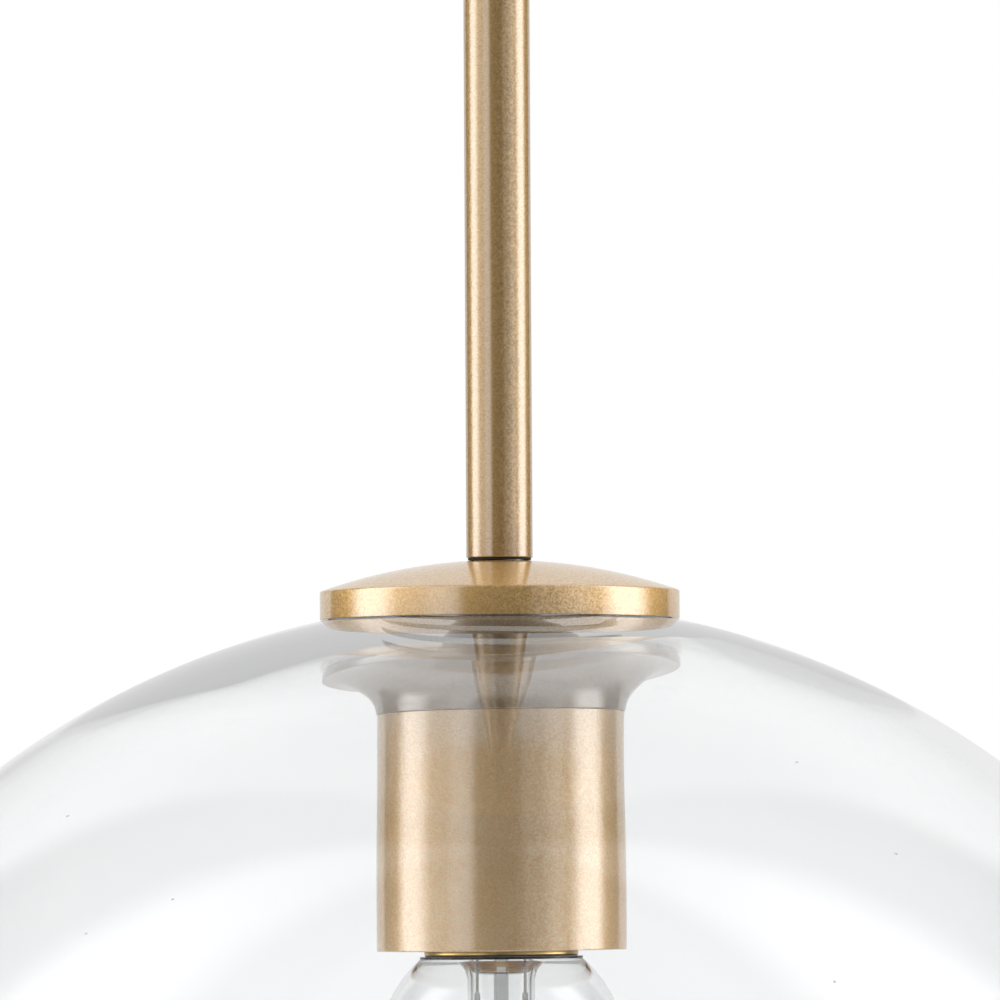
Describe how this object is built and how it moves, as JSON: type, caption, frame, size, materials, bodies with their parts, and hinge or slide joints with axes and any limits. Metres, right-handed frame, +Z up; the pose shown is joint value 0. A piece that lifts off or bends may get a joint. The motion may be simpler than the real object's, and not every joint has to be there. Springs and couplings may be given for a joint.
{
  "type": "pendant ceiling light",
  "caption": "Pendant ceiling light: clear glass globe clamped under a domed brass cap, hung on a rigid rod with a swivel and canopy, with a screw-base lamp in a brass cup.",
  "frame": {"origin": "middle of the ceiling strap's top face, in the plane of the ceiling", "axes": "+Z up; the light hangs along -Z, the strap runs along X and the knuckle's pin lies along X"},
  "size_m": [0.3049, 0.305, 0.6266],
  "materials": {
    "satin_brass_lacquer": "satin metallic brass lacquer with a fine flake",
    "zinc_steel": "bright zinc plate",
    "earth_screw": "green passivated",
    "connector_plastic": "moulded",
    "wire_insulation": "extruded",
    "black_fibre": "matt",
    "silicone": "clear silicone",
    "blown_glass": "clear, blown, polished mouth",
    "socket_porcelain": "glazed",
    "plain_brass": "pressed, bright",
    "solder": "solder",
    "lamp_glass": "clear",
    "nickel_wire": "drawn wire",
    "phosphor": "phosphor coating"
  },
  "bodies": {
    "ceiling_plate": {"ceiling_strap": "zinc_steel", "ground_screw": "earth_screw", "canopy_screws": "zinc_steel", "canopy": "satin_brass_lacquer", "ball_nuts": "satin_brass_lacquer", "bush": "satin_brass_lacquer", "bush_nut": "zinc_steel", "stud_washer": "zinc_steel", "wire_connectors": "connector_plastic", "canopy_leads": "wire_insulation"},
    "swivel": {"swivel_stud": "satin_brass_lacquer", "stud_nut": "zinc_steel"},
    "pendant": {"knuckle": "satin_brass_lacquer", "knuckle_pin": "zinc_steel", "rod": "satin_brass_lacquer", "rod_leads": "wire_insulation", "rod_washer": "black_fibre", "cap": "satin_brass_lacquer", "cap_washer": "zinc_steel", "cap_nut": "zinc_steel", "threaded_tube": "zinc_steel", "upper_gasket": "silicone", "glass_globe": "blown_glass", "lower_gasket": "silicone", "flange": "satin_brass_lacquer", "socket_cup": "satin_brass_lacquer", "cup_washer": "zinc_steel", "cup_nut": "zinc_steel", "socket_cap": "socket_porcelain", "socket_body": "socket_porcelain", "socket_shell": "plain_brass", "socket_contact": "plain_brass", "terminal_screws": "plain_brass"},
    "lamp_tip": {"lamp_contact": "solder", "lamp_insulator": "black_fibre"},
    "lamp": {"lamp_base": "plain_brass", "lamp_neck_ring": "black_fibre", "lamp_glass": "lamp_glass", "lamp_stem": "lamp_glass", "lamp_wires": "nickel_wire", "lamp_filaments": "phosphor"}
  },
  "joints": [
    {"name": "swivel_spin", "type": "hinge", "parent": "ceiling_plate", "child": "swivel", "pos_m": [0, 0, -0.03], "axis": [0, 0, 1], "range_deg": [-170, 170]},
    {"name": "swivel_tilt", "type": "hinge", "parent": "swivel", "child": "pendant", "pos_m": [0, 0, -0.046], "axis": [1, 0, 0], "range_deg": [-45, 45]},
    {"name": "lamp_travel", "type": "slide", "parent": "pendant", "child": "lamp_tip", "axis": [0, 0, -1], "range_m": [0, 0.0109]},
    {"name": "lamp_turn", "type": "hinge", "parent": "lamp_tip", "child": "lamp", "pos_m": [0, 0, -0.40405], "axis": [0, 0, -1], "range_deg": [0, 1080]}
  ],
  "couplings": [
    {"joint": "lamp_travel", "follows": "lamp_turn", "m_per_rad": 0.00057773}
  ]
}
